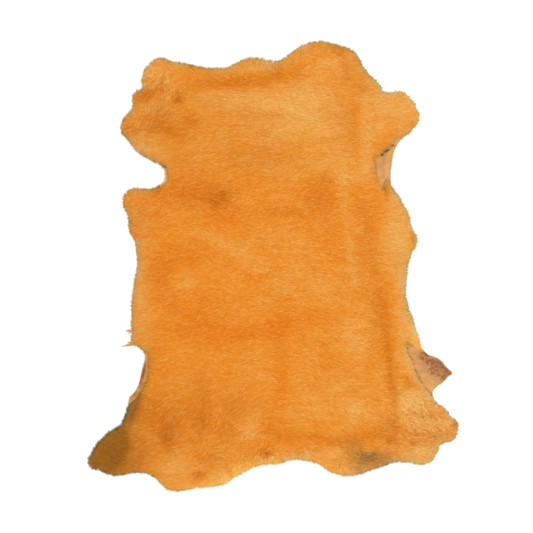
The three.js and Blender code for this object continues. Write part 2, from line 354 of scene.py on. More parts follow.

# Troughs and ridges of the wool, with painted shade in each trough and painted light on each ridge.
TRAILS = (
    Trail(-1.2, -0.7, 8, ((233, -60), (241, -120), (248, -183), (254, -240), (260, -290), (267, -345))),
    Trail(-0.4, -0.25, 14, ((205, 190), (208, 110), (214, 30), (222, -40), (234, -110))),
    Trail(-0.5, -0.15, 9, ((218, 392), (213, 277), (222, 187), (229, 90))),
    Trail(0.9, 0.6, 8, ((148, 225), (151, 150), (154, 80), (168, 0), (176, -40))),
    Trail(-0.7, -0.15, 16, ((-225, -135), (-128, -152), (-64, -156), (35, -124), (120, -98), (233, -64))),
    Trail(-0.8, -0.3, 12, ((-163, 406), (-77, 408), (-11, 412), (35, 428), (101, 464), (139, 474))),
    Trail(-0.6, -0.15, 13, ((13, -370), (80, -382), (145, -386), (220, -376), (261, -359))),
    Trail(-1.2, -0.35, 10, ((-301, 367), (-266, 378), (-235, 396))),
    Trail(-0.4, -0.4, 7, ((9, -100), (11, -165), (14, -251), (13, -330))),
    Trail(-0.7, -0.4, 7, ((99, -378), (90, -409), (86, -431))),
    Trail(0.6, 0.5, 8, ((84, -388), (78, -415), (70, -428))),
    Trail(0.4, 0.3, 12, ((196, 396), (193, 300), (202, 180))),
    Trail(-0.4, -0.3, 9, ((176, 396), (172, 300), (178, 220))),
    Trail(-3.5, -1.3, 4, ((-190, 450), (-186, 438), (-179, 430))),
    Trail(-3.5, -1.0, 4, ((-94, -452), (-89, -470))),
    Trail(-2.0, -1.0, 5, ((-209, 382), (-205, 372), (-201, 362))),
    Trail(-2.0, -0.8, 5, ((-238, 458), (-229, 440))),
)

# Where the comb turned aside: amount is how far, in degrees.
SWIRLS = (
    Zone(-130, 45, 70, 70, 0, -38),
    Zone(-200, -20, 50, 50, 0, 30),
    Zone(40, 210, 60, 50, 0, 22),
    Zone(150, -330, 80, 60, 0, -20),
    Zone(-120, -330, 110, 70, 0, 45),
    Zone(-250, 380, 50, 50, 0, 70),
    Zone(30, 340, 70, 40, 0, -16),
    Zone(300, -330, 60, 60, 0, -40),
)

# Where the wool is curly rather than combed straight.
CURLS = (
    Zone(-270, 410, 60, 60, 0, 1.0),
    Zone(-290, 300, 45, 40, 0, 0.6),
    Zone(270, 370, 70, 50, 0, 0.5),
    Zone(330, -340, 80, 70, 0, 1.0),
    Zone(180, -420, 100, 40, 0, 0.8),
    Zone(-160, -380, 150, 80, 0, 0.8),
    Zone(0, -420, 120, 40, 0, 0.5),
    Zone(-290, 130, 40, 40, 0, 0.6),
)

# Where the locks differ more from one another in colour.
UNEVEN = (
    Zone(330, -340, 80, 70, 0, 1.6),
    Zone(180, -420, 60, 30, 0, 0.4),
    Zone(-270, 410, 60, 60, 0, 0.9),
    Zone(-160, -390, 120, 70, 0, 0.4),
    Zone(-300, 310, 40, 50, 0, 0.7),
    Zone(-285, 130, 40, 50, 0, 0.6),
)

# Bare skin behind the legs. Each patch runs along its wool line and then closes outside the rim.
BARE_PATCHES = (
    ((306, 293), (279, 283), (260, 266), (242, 251), (229, 239), (224, 222), (228, 202), (234, 185),
     (242, 169), (249, 185), (260, 198), (284, 233), (297, 273)),
    ((296, -170), (324, -187), (346, -202), (380, -190), (420, -238), (380, -296), (352, -288),
     (332, -263), (320, -246), (312, -226), (306, -205), (295, -186)),
    ((-286, -189), (-275, -198), (-277, -229), (-280, -253), (-292, -279), (-306, -295), (-321, -306),
     (-341, -293), (-310, -251)),
    ((-249, 227), (-233, 218), (-231, 200), (-234, 183), (-249, 176), (-260, 200)),
)

SPINE_X = 0.0  # the comb parts the wool along this line


def linear(hex_colour):
    """An sRGB hex colour as linear red, green, blue and alpha."""
    parts = (int(hex_colour[i : i + 2], 16) / 255 for i in (1, 3, 5))
    return (*(p / 12.92 if p <= 0.04045 else ((p + 0.055) / 1.055) ** 2.4 for p in parts), 1.0)


def colour_property(name, description, hex_colour):
    """A colour in the panel."""
    return bpy.props.FloatVectorProperty(
        name=name, description=description, subtype="COLOR", size=4, min=0, max=1,
        default=linear(hex_colour),
    )


def length_property(name, description, metres):
    """A length in the panel."""
    return bpy.props.FloatProperty(
        name=name, description=description, subtype="DISTANCE", unit="LENGTH", min=0, default=metres
    )


class SheepskinSizes(bpy.types.PropertyGroup):
    hide_thick: length_property("Hide", "Thickness of the tanned skin", 1.8 * MM)
    underwool_share: bpy.props.FloatProperty(
        name="Underwool", description="Share of the wool's height that is one dense mass", default=0.85
    )
    underwool_step: length_property("Underwool step", "Spacing of the underwool's points", 4 * MM)
    hide_step: length_property("Hide step", "Spacing of the hide's points", 7 * MM)
    fine_step: length_property("Fine step", "Spacing of both pieces' points beside the bare skin", 2 * MM)
    lock_length: length_property("Lock", "Length of a wool lock over the back", 14 * MM)
    rim_lock_length: length_property("Rim lock", "Length of a wool lock at the rim", 13 * MM)
    clump: length_property("Clump", "Distance over which locks lie the same way", 9 * MM)
    locks_per_area: bpy.props.FloatProperty(
        name="Locks", description="Wool locks in a square metre of the back", default=125000
    )
    rim_locks_per_area: bpy.props.FloatProperty(
        name="Rim locks", description="Wool locks in a square metre beside the rim", default=400000
    )
    rim_width: length_property("Rim width", "How far in from the edge the rim's locks are rooted", 13 * MM)


class SheepskinColours(bpy.types.PropertyGroup):
    wool: colour_property("Wool", "The dyed wool", "#E18E2B")
    deep_wool: colour_property("Deep wool", "The wool where the dye took deepest", "#DD7B1A")
    light_wool: colour_property("Light wool", "The wool where the dye is thin", "#E4AA56")
    smudge: colour_property("Smudge", "Brown smudges in the wool", "#B7640A")
    soiled: colour_property("Soiled wool", "Wool soiled dark at the left hind leg", "#775015")
    olive: colour_property("Olive stain", "The olive stain at the bottom edge", "#755F34")
    wisp: colour_property("Wisp", "The stray wisps, thin and pale", "#C79854")
    # Painted shade for the slits, the partings and the hide under the wool's lip.
    gap: colour_property("Gap", "Dark gaps between the wool and the bare skin", "#5E3009")
    bare_skin: colour_property("Bare skin", "The tanned skin behind the legs", "#CF9656")
    skin_edge: colour_property("Skin edge", "The yellower edge of the bare skin", "#CB9A54")
    stained_skin: colour_property("Stained skin", "The dark end of the bare flap", "#693420")


def mix(a, b, share):
    """Blends rows of numbers, each with its own share of b."""
    return a + (b - a) * share[:, None]


def smooth(low, high, values):
    """0 below low, 1 above high, and a smooth step between them."""
    share = np.clip((values - low) / (high - low), 0, 1)
    return share * share * (3 - 2 * share)


def zone_sum(points, zones):
    """The sum of the zones' amounts at each point."""
    total = np.zeros(len(points))
    for zone in zones:
        turn = math.radians(zone.turn)
        dx, dy = points[:, 0] - zone.x * MM, points[:, 1] - zone.y * MM
        across = (dx * math.cos(turn) + dy * math.sin(turn)) / (zone.across * MM)
        along = (dy * math.cos(turn) - dx * math.sin(turn)) / (zone.along * MM)
        total += zone.amount * np.exp(-(across**2) - along**2)
    return total


def line_nearest(points, line, closed=False):
    """The nearest place on a line, given in millimetres, to each point, and how far it is."""
    corners = np.array(line, float) * MM
    starts = corners if closed else corners[:-1]
    ends = np.roll(corners, -1, axis=0) if closed else corners[1:]
    places = np.zeros((len(points), 2))
    nearest = np.full(len(points), np.inf)
    for start, end in zip(starts, ends):
        step = end - start
        share = np.clip((points - start) @ step / (step @ step), 0, 1)
        place = start + share[:, None] * step
        away = np.linalg.norm(points - place, axis=1)
        places = np.where((away < nearest)[:, None], place, places)
        nearest = np.minimum(nearest, away)
    return places, nearest


def trail_share(points, trail):
    """1 on a trail, and less and less beside it."""
    away = line_nearest(points, trail.line)[1] / (trail.width * MM)
    return np.exp(-(away**2))


def inside(points, line):
    """Whether each point is inside a closed line given in millimetres."""
    corners = np.array(line, float) * MM
    found = np.zeros(len(points), bool)
    for a, b in zip(corners, np.roll(corners, -1, axis=0)):
        crosses = (a[1] > points[:, 1]) != (b[1] > points[:, 1])
        rise = b[1] - a[1] if b[1] != a[1] else 1e-12
        found ^= crosses & (points[:, 0] < a[0] + (points[:, 1] - a[1]) / rise * (b[0] - a[0]))
    return found


def waves(points, size, seed):
    """Smooth noise from -1 to 1 with features of about that size."""
    return np.array([noise.noise(Vector((x / size, y / size, seed * 7.3))) for x, y in points])


def to_bare_skin(points):
    """Each point's distance to the nearest bare patch, negative inside it, and the way to its edge."""
    nearest = np.full(len(points), np.inf)
    direction = np.zeros((len(points), 2))
    for patch in BARE_PATCHES:
        places, away = line_nearest(points, patch, closed=True)
        towards = (places - points) / np.maximum(away, 1e-6)[:, None]
        signed = away * np.where(inside(points, patch), -1, 1)
        direction = np.where((signed < nearest)[:, None], towards, direction)
        nearest = np.minimum(nearest, signed)
    return nearest, direction


def wool_cover(points):
    """0 on bare skin, 1 under full wool, 6 mm further in. The wool line wavers by up to 2 mm."""
    waver = waves(points, 9 * MM, 3) * 2 * MM
    return np.clip((to_bare_skin(points)[0] + waver + 1 * MM) / (6 * MM), 0, 1)


@functools.lru_cache
def welded_skin():
    """The CAD solid with its shared corners joined."""
    solid = bmesh.new()
    solid.from_mesh(frame["nodes"][SKIN].data)
    bmesh.ops.remove_doubles(solid, verts=solid.verts, dist=0.001 * MM)
    solid.verts.ensure_lookup_table()
    return solid


RIM_STEP = 2 * MM


@functools.lru_cache
def rim_line():
    """The skin's edge, anticlockwise, midway between the roots and the tips of the solid's rim locks."""
    solid = welded_skin()
    floor = {face for face in solid.faces if max(v.co.z for v in face.verts) < 0.01 * MM}
    after = {}
    for face in floor:
        for loop in face.loops:
            if loop.link_loop_radial_next.face not in floor:
                after[loop.link_loop_next.vert.index] = loop.vert.index
    walk = [min(after)]
    while after[walk[-1]] != walk[0]:
        walk.append(after[walk[-1]])
    rim = np.array([solid.verts[i].co.xy for i in walk])
    between = (np.roll(rim, 1, axis=0) + np.roll(rim, -1, axis=0)) / 2
    # The tip of a rim lock stands more than 12 mm out from its neighbours, and is moved back between them.
    stands_out = np.linalg.norm(rim - between, axis=1) > 12 * MM
    rim[stands_out] = between[stands_out]
    rim = (np.roll(rim, 1, axis=0) + 2 * rim + np.roll(rim, -1, axis=0)) / 4
    return respaced(rim, RIM_STEP)


def respaced(line, step):
    """A closed line's points, moved along it until they are evenly spaced."""
    closed = np.vstack([line, line[:1]])
    along = np.concatenate([[0], np.cumsum(np.linalg.norm(np.diff(closed, axis=0), axis=1))])
    places = np.linspace(0, along[-1], round(along[-1] / step), endpoint=False)
    return np.column_stack([np.interp(places, along, closed[:, k]) for k in (0, 1)])


def outwards(line):
    """The direction out of an anticlockwise closed line at each of its points."""
    tangent = np.roll(line, -3, axis=0) - np.roll(line, 3, axis=0)
    normal = np.column_stack([tangent[:, 1], -tangent[:, 0]])
    return normal / np.linalg.norm(normal, axis=1)[:, None]


def search_tree(line):
    """A tree that finds the nearest point of a line."""
    tree = KDTree(len(line))
    for i, (x, y) in enumerate(line):
        tree.insert((x, y, 0), i)
    tree.balance()
    return tree


@functools.lru_cache
def rim_tree():
    """The search tree of the skin's edge."""
    return search_tree(rim_line())


def from_rim(points):
    """Each point's distance to the rim, and the direction out of the rim there."""
    found = [rim_tree().find((x, y, 0)) for x, y in points]
    return np.array([f[2] for f in found]), outwards(rim_line())[[f[1] for f in found]]


def scattered(low, high, step, seed):
    """Points over a box, about step apart, slightly out of line with each other."""
    rows = np.arange(low[1], high[1], step * math.sqrt(3) / 2)
    columns = np.arange(low[0], high[0], step)
    grid = [(x + (j % 2) * step / 2, y) for j, y in enumerate(rows) for x in columns]
    return np.array(grid) + np.random.default_rng(seed).uniform(-0.2, 0.2, (len(grid), 2)) * step


# How near the bare skin the points are finer, and how far all of them keep from the edge's own points.
FINE_AREA = 8 * MM
EDGE_CLEARANCE = 2.2 * MM


def filled(line, step, fine_step):
    """Points and triangles that fill a closed line, about step apart and finer beside the bare skin."""
    edge = respaced(line, min(step, 4 * MM))
    low, high = edge.min(0), edge.max(0)
    coarse, fine = scattered(low, high, step, 4), scattered(low, high, fine_step, 5)
    coarse = coarse[to_bare_skin(coarse)[0] > FINE_AREA]
    fine = fine[to_bare_skin(fine)[0] <= FINE_AREA]
    grid = np.vstack([coarse, fine])
    tree = search_tree(edge)
    clear = np.array([tree.find((x, y, 0))[2] > EDGE_CLEARANCE for x, y in grid])
    points = [Vector(p) for p in np.vstack([edge, grid[clear]])]
    ring = [(i, (i + 1) % len(edge)) for i in range(len(edge))]
    places, _, faces, *_ = delaunay_2d_cdt(points, ring, [], 1, 1e-7)
    used = sorted({i for face in faces for i in face})
    new = {old: i for i, old in enumerate(used)}
    faces = [tuple(new[i] for i in face) for face in faces]
    return np.array([places[i] for i in used]), faces


def combed_streaks(points):
    """Noise from -1 to 1 drawn out across the skin, in lines that curve a little, as a comb leaves it."""
    bend = np.column_stack([np.zeros(len(points)), 16 * MM * waves(points, 70 * MM, 33)])
    return waves((points + bend) / (5.0, 1.0), 8 * MM, 34)


def wool_tone(points):
    """Where the dye is deep, below 0, and where it is light, above 0, with painted shade in the troughs
    and painted light on the ridges.
    """
    tone = zone_sum(points, TONES)
    tone = tone + 0.2 * waves(points, 80 * MM, 1) + 0.25 * waves(points, 30 * MM, 2)
    tone += 0.15 * waves(points, 14 * MM, 4) + 0.5 * combed_streaks(points)
    # The trails paint shade into the troughs and light onto the ridges.
    for trail in TRAILS:
        tone += trail.tone * trail_share(points, trail)
    return tone


# What red, green and blue are multiplied by at the rim, where the wool's thin ends have lost their dye.
# The darker red of the olive rim is painted shade at the fleece's edge.
RIM_FADE_AND_SHADE = (0.7, 1.08, 1.9)
PALE_RIM_FADE = (1.5, 1.8, 2.0)


def wool_tint(points, colours):
    """The wool's colour at each point."""
    names = ("wool", "deep_wool", "light_wool", "smudge", "soiled", "olive", "gap")
    dyes = [np.array(getattr(colours, name)[:3]) for name in names]
    wool, deep, light, smudge, soiled, olive, gap = dyes
    tone = wool_tone(points)
    tint = np.tile(wool, (len(points), 1))
    tint = mix(tint, deep, np.clip(-tone, 0, 1.3))
    tint = mix(tint, light, np.clip(tone, 0, 1.7))
    tint = mix(tint, smudge, np.clip(zone_sum(points, SMUDGES), 0, 1))
    blotch = 1 + 0.35 * waves(points, 22 * MM, 5)
    tint = mix(tint, soiled, np.clip(zone_sum(points, SOILED) * blotch, 0, 1))
    tint = mix(tint, olive, np.clip(zone_sum(points, OLIVE) * blotch, 0, 1))
    # The wool is thin at the rim and full from 19 mm in, and the olive rim's painted shade follows the
    # same band. Beside the bare skin that is 3 mm less.
    distance, _ = from_rim(points)
    bare_distance, _ = to_bare_skin(points)
    waver = waves(points, 12 * MM, 6) * 2 * MM
    thin = 1 - smooth(7 * MM, 19 * MM, np.minimum(distance, bare_distance + 3 * MM) + waver)
    pale = np.clip(zone_sum(points, PALE_RIM), 0, 1)
    fade_and_shade = mix(np.tile(RIM_FADE_AND_SHADE, (len(points), 1)), PALE_RIM_FADE, pale)
    tint = tint * mix(np.ones((len(points), 3)), fade_and_shade, thin)
    # Painted shade in the slits and the partings.
    tint = mix(tint, gap, np.clip(zone_sum(points, SHADED_SLITS), 0, 1))
    return np.clip(tint, 0, 1)


def wool_contrast(points):
    """How much the locks differ from one another in colour: less where the wool is soiled."""
    soiled = np.clip(zone_sum(points, SOILED), 0, 1)
    return np.clip(1 + zone_sum(points, UNEVEN), 0, 3) * (1 - 0.6 * soiled)


def wool_curl(points):
    """0 where the wool lies combed and straight, 1 where it is curly."""
    return np.clip(zone_sum(points, CURLS), 0, 1)


def wool_comb(points):
    """The way the wool lies: from the spine out to both flanks, and outwards at the rim."""
    side = np.where(points[:, 0] < SPINE_X, -1.0, 1.0)
    comb = np.column_stack([side, -0.15 * np.abs(np.tanh((points[:, 0] - SPINE_X) / 0.1))])
    turn = np.radians(
        zone_sum(points, SWIRLS) + 22 * waves(points, 70 * MM, 8) + 16 * waves(points, 30 * MM, 9)
        + 70 * wool_curl(points) * waves(points, 24 * MM, 10)
    )
    comb = np.column_stack([
        comb[:, 0] * np.cos(turn) - comb[:, 1] * np.sin(turn),
        comb[:, 0] * np.sin(turn) + comb[:, 1] * np.cos(turn),
    ])
    distance, out = from_rim(points)
    comb = mix(comb, out * 1.5, 1 - smooth(2 * MM, 30 * MM, distance))
    distance, towards = to_bare_skin(points)
    comb = mix(comb, towards * 1.5, 0.8 * (1 - smooth(2 * MM, 18 * MM, distance)))
    return np.column_stack([comb, np.zeros(len(points))])


def solid_top(points, hide_thick):
    """The height of the CAD solid's top over each point."""
    tree = BVHTree.FromBMesh(welded_skin())
    down = Vector((0, 0, -1))
    hits = [tree.ray_cast(Vector((x, y, 1)), down)[0] for x, y in points]
    return np.array([hide_thick if hit is None else max(hit.z, hide_thick) for hit in hits])


def wool_relief(points):
    """How much the troughs, the ridges and the uneven clip raise the wool."""
    rise = np.zeros(len(points))
    for trail in TRAILS:
        rise += trail.rise * MM * trail_share(points, trail)
    return rise + 0.35 * MM * waves(points, 16 * MM, 11) + 0.45 * MM * waves(points, 30 * MM, 12)


def settled(heights, faces, points, passes, held):
    """Heights smoothed by drawing each point that is not held to the mean of its neighbours."""
    pairs = np.array([(a, b) for face in faces for a, b in zip(face, face[1:] + face[:1])])
    count = np.maximum(np.bincount(pairs[:, 0], minlength=len(points)), 1)
    for _ in range(passes):
        total = np.bincount(pairs[:, 0], weights=heights[pairs[:, 1]], minlength=len(points))
        heights = np.where(held, heights, (heights + total / count) / 2)
    return heights


def add(tree, kind, inputs=None, **settings):
    """Adds a node with its settings, and sets or links its inputs by name or by place.

    An input that is given a node is linked to the first output that the node uses.
    """
    node = tree.nodes.new(kind)
    for name, value in settings.items():
        setattr(node, name, value)
    for name, value in (inputs or {}).items():
        if isinstance(value, bpy.types.Node):
            value = next(output for output in value.outputs if output.enabled)
        if isinstance(value, bpy.types.NodeSocket):
            tree.links.new(value, node.inputs[name])
        else:
            node.inputs[name].default_value = value
    return node


def stored_numbers(tree, *names):
    """The numbers that a mesh carries under these names, for a material to read."""
    return [add(tree, "ShaderNodeAttribute", attribute_name=name).outputs["Fac"] for name in names]


def new_material(name):
    """An empty node material and its tree."""
    material = bpy.data.materials.new(name)
    material.use_nodes = True
    material.node_tree.nodes.clear()
    return material, material.node_tree


@functools.lru_cache
def dyed_wool():
    """Dyed sheep's wool, clipped and combed: matt fibres with a soft sheen, darker at their roots from
    deeper dye and painted shade.
    """
    material, tree = new_material("Dyed clipped wool")
    place = add(tree, "ShaderNodeTexCoord").outputs["Object"]
    tint = add(tree, "ShaderNodeAttribute", attribute_name="tint").outputs["Color"]
    tone, along, contrast = stored_numbers(tree, "tone", "along", "contrast")
    # Staples of wool, about 7 mm across, take the dye unevenly.
    staples = add(tree, "ShaderNodeTexNoise", {
        "Vector": place, "Scale": 1 / (7 * MM), "Detail": 3.0, "Roughness": 0.6,
    })
    uneven = add(tree, "ShaderNodeMapRange", {
        "Value": staples, "From Min": 0.3, "From Max": 0.7, "To Min": 0.95, "To Max": 1.04,
    })
    dyed = add(tree, "ShaderNodeHueSaturation", {"Color": tint, "Value": uneven})
    # Some locks are bleached and some took more dye. All are darker at their roots: deeper dye there, and
    # painted shade between the locks.
    bleached_tint, soaked_tint, root_dye_and_shade_tint = map(linear, ("#DCAE66", "#BE6812", "#CC640E"))
    bleached = add(tree, "ShaderNodeMapRange", {
        "Value": tone, "From Min": 0.5, "From Max": 1.0, "To Min": 0.0, "To Max": 0.3,
    }, clamp=False)
    pale_lock = add(tree, "ShaderNodeMix", {0: bleached, 6: dyed, 7: bleached_tint}, data_type="RGBA")
    soaked = add(tree, "ShaderNodeMapRange", {
        "Value": tone, "From Min": 0.0, "From Max": 0.5, "To Min": 0.32, "To Max": 0.0,
    }, clamp=False)
    deep_lock = add(tree, "ShaderNodeMix", {0: soaked, 6: pale_lock, 7: soaked_tint}, data_type="RGBA")
    roots = add(tree, "ShaderNodeMapRange", {
        "Value": along, "From Min": 0.0, "From Max": 0.7, "To Min": 0.55, "To Max": 0.0,
    })
    # Where the locks differ more from one another, the painted shade at their roots is deeper too.
    deeper = add(tree, "ShaderNodeMath", {0: contrast, 1: 0.3, 2: 0.7}, operation="MULTIPLY_ADD")
    root_dye_and_shade_share = add(tree, "ShaderNodeMath", {0: roots, 1: deeper}, operation="MULTIPLY", use_clamp=True)
    rooted = add(tree, "ShaderNodeMix", {0: root_dye_and_shade_share, 6: deep_lock, 7: root_dye_and_shade_tint}, data_type="RGBA")
    # Single fibres are too fine to show, so the bump draws strands about 0.8 mm across.
    strands = add(tree, "ShaderNodeTexNoise", {"Vector": place, "Scale": 1 / (0.8 * MM), "Detail": 2.0})
    bump = add(tree, "ShaderNodeBump", {"Height": strands, "Strength": 0.3, "Distance": 0.3 * MM})
    wool = add(tree, "ShaderNodeBsdfPrincipled", {
        "Base Color": rooted, "Roughness": 0.9, "IOR": 1.54, "Specular IOR Level": 0.06,
        "Sheen Weight": 0.04, "Sheen Roughness": 0.5, "Sheen Tint": linear("#FFC98A"), "Normal": bump,
    })
    add(tree, "ShaderNodeOutputMaterial", {"Surface": wool})
    return material


WRINKLE_LENGTH = 20 * MM
WRINKLE_STEP = 3 * MM


@functools.lru_cache
def tanned_skin(bare, edge_colour, stained, gap_shade_colour):
    """Soft tanned sheepskin leather: matt tan, finely wrinkled, with dark mottled stains, and painted
    shade in its creases, in the slits and under the wool's lip.
    """
    material, tree = new_material("Soft tanned sheepskin leather")
    place = add(tree, "ShaderNodeTexCoord").outputs["Object"]
    stain, edge, gap = stored_numbers(tree, "stain", "edge", "gap")
    # The dye lies in clouds about 20 mm across.
    cloud = add(tree, "ShaderNodeTexNoise", {
        "Vector": place, "Scale": 1 / (20 * MM), "Detail": 4.0, "Roughness": 0.6,
    })
    clouds = add(tree, "ShaderNodeValToRGB", {"Fac": cloud})
    clouds.color_ramp.elements[0].color = linear("#BE824C")
    clouds.color_ramp.elements[1].color = bare
    clouds.color_ramp.elements[0].position = 0.3
    clouds.color_ramp.elements[1].position = 0.6
    edged = add(tree, "ShaderNodeMix", {0: edge, 6: clouds, 7: edge_colour}, data_type="RGBA")
    # The wrinkles lie in a space of their own, in which each of them has the size 1.
    along = add(tree, "ShaderNodeAttribute", attribute_name="wrinkle_place").outputs["Vector"]
    wrinkle = add(tree, "ShaderNodeTexNoise", {
        "Vector": along, "Scale": 1.0, "Detail": 3.0, "Distortion": 0.6,
    })
    # The creases of the wrinkles are painted darker as shade, as well as bumped.
    crease_shade = add(tree, "ShaderNodeMapRange", {
        "Value": wrinkle, "From Min": 0.3, "From Max": 0.6, "To Min": 0.82, "To Max": 1.06,
    })
    crease_shaded = add(tree, "ShaderNodeHueSaturation", {"Color": edged, "Value": crease_shade})
    # The stains break up into spots about 5 mm across.
    spots = add(tree, "ShaderNodeTexNoise", {
        "Vector": place, "Scale": 1 / (5 * MM), "Detail": 3.0, "Roughness": 0.7,
    })
    spotted = add(tree, "ShaderNodeMath", {0: spots, 1: 4.0, 2: -1.1}, operation="MULTIPLY_ADD")
    share = add(tree, "ShaderNodeMath", {0: stain, 1: spotted}, operation="MULTIPLY", use_clamp=True)
    # Inside a stain the colour still varies from speck to speck, about 2.5 mm apart.
    specks = add(tree, "ShaderNodeTexNoise", {"Vector": place, "Scale": 1 / (2.5 * MM), "Detail": 1.0})
    speckled = add(tree, "ShaderNodeMapRange", {
        "Value": specks, "From Min": 0.35, "From Max": 0.7, "To Min": 1.0, "To Max": 0.45,
    })
    stain_share = add(tree, "ShaderNodeMath", {0: share, 1: speckled}, operation="MULTIPLY")
    skin = add(tree, "ShaderNodeMix", {0: stain_share, 6: crease_shaded, 7: stained}, data_type="RGBA")
    # Painted shade in the slits and under the wool's lip.
    dark = add(tree, "ShaderNodeMix", {0: gap, 6: skin, 7: gap_shade_colour}, data_type="RGBA")
    # Hair pores of sheep leather are under 1 mm apart, drawn here at 1.5 mm so that they show.
    pores = add(tree, "ShaderNodeTexVoronoi", {"Vector": place, "Scale": 1 / (1.5 * MM)})
    height = add(tree, "ShaderNodeMath", {0: pores, 1: 0.25, 2: wrinkle}, operation="MULTIPLY_ADD")
    bump = add(tree, "ShaderNodeBump", {"Height": height, "Strength": 0.7, "Distance": 1.0 * MM})
    leather = add(tree, "ShaderNodeBsdfPrincipled", {
        "Base Color": dark, "Roughness": 0.7, "IOR": 1.5, "Specular IOR Level": 0.3, "Normal": bump,
    })
    add(tree, "ShaderNodeOutputMaterial", {"Surface": leather})
    return material


def store(mesh, name, kind, values):
    """Puts one value or one row of values on each vertex."""
    attribute = mesh.attributes.new(name, kind, "POINT")
    field = {"FLOAT": "value", "FLOAT_VECTOR": "vector", "FLOAT_COLOR": "color"}[kind]
    attribute.data.foreach_set(field, np.asarray(values, np.float32).ravel())


def shown(name, mesh, material):
    """A finished piece of the skin, at the origin, riding on the one body."""
    mesh.materials.clear()
    mesh.materials.append(material)
    piece = bpy.data.objects.new(name, mesh)
    bpy.context.scene.collection.objects.link(piece)
    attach(piece, "root")
    return piece


def plain_mesh(name, points, faces):
    """A mesh with soft edges."""
    mesh = bpy.data.meshes.new(name)
    mesh.from_pydata([tuple(p) for p in points], [], faces)
    mesh.shade_smooth()
    mesh.update()
    return mesh


class SHEEPSKIN_OT_hide(bpy.types.Operator):
    """Makes the tanned skin, a thin sheet that is bare behind the legs"""

    bl_idname = "sheepskin.hide"
    bl_label = "Hide"

    def execute(self, context):
        sizes, colours = context.scene.sheepskin_sizes, context.scene.sheepskin_colours
        rim = rim_line()
        # The hide's edge is slightly ragged, 2.5 mm inside the rim of the wool but flush where it is bare.
        ragged = waves(rim, 5 * MM, 14) * 1.0 * MM
        inset = 2.5 * MM * wool_cover(rim) + ragged - zone_sum(rim, HIDE_EDGE) * MM
        points, faces = filled(rim - outwards(rim) * inset[:, None], sizes.hide_step, sizes.fine_step)
        bare = 1 - wool_cover(points)
        distance, _ = from_rim(points)
        # The bare skin is wrinkled, and its edge curls up here and there.
        wrinkled = (waves(points, 13 * MM, 15) + 1) * 1.1 * MM
        wrinkled = wrinkled + (waves(points, 30 * MM, 16) + 1) * 0.8 * MM
        curl = 2.5 * MM * (1 - smooth(0, 14 * MM, distance)) * (waves(points, 35 * MM, 17) + 0.7)
        heights = np.clip(bare * (wrinkled + np.maximum(curl, 0)) - 0.8 * MM, 0, None)
        heights = settled(heights, faces, points, 2, np.zeros(len(points), bool))
        mesh = plain_mesh("hide", np.column_stack([points, heights]), faces)
        stain = np.clip(zone_sum(points, SKIN_STAINS), 0, 1)
        store(mesh, "stain", "FLOAT", stain)
        edge = 1 - smooth(0, 10 * MM, distance + waves(points, 9 * MM, 19) * 3 * MM)
        store(mesh, "edge", "FLOAT", edge * (1 - stain))
        # The wrinkles follow the edge of the skin, but on the flap at the right flank they run slantwise.
        slant = math.radians(-22)
        slantwise = points[:, 1] * math.cos(slant) - points[:, 0] * math.sin(slant)
        flap = (points[:, 0] > 0) & (points[:, 1] < 0)
        across = np.where(flap, slantwise, distance)
        wrinkle_place = np.column_stack([points / WRINKLE_LENGTH, across / WRINKLE_STEP])
        store(mesh, "wrinkle_place", "FLOAT_VECTOR", wrinkle_place)
        # The hide is painted with shade where the wool's lip overhangs it beside the bare skin, and in the
        # slits.
        beside_bare = 1 - smooth(4 * MM, 10 * MM, to_bare_skin(points)[0])
        shade_under_wool = np.clip(wool_cover(points) * 1.5, 0, 1) * beside_bare
        store(mesh, "gap", "FLOAT", np.clip(zone_sum(points, SHADED_SLITS) + 0.5 * shade_under_wool, 0, 1))
        names = ("bare_skin", "skin_edge", "stained_skin", "gap")
        hide = shown("hide", mesh, tanned_skin(*(tuple(getattr(colours, name)) for name in names)))
        thickness = hide.modifiers.new("Thickness", "SOLIDIFY")
        thickness.thickness = sizes.hide_thick
        thickness.offset = 1
        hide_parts(SKIN)
        return {"FINISHED"}


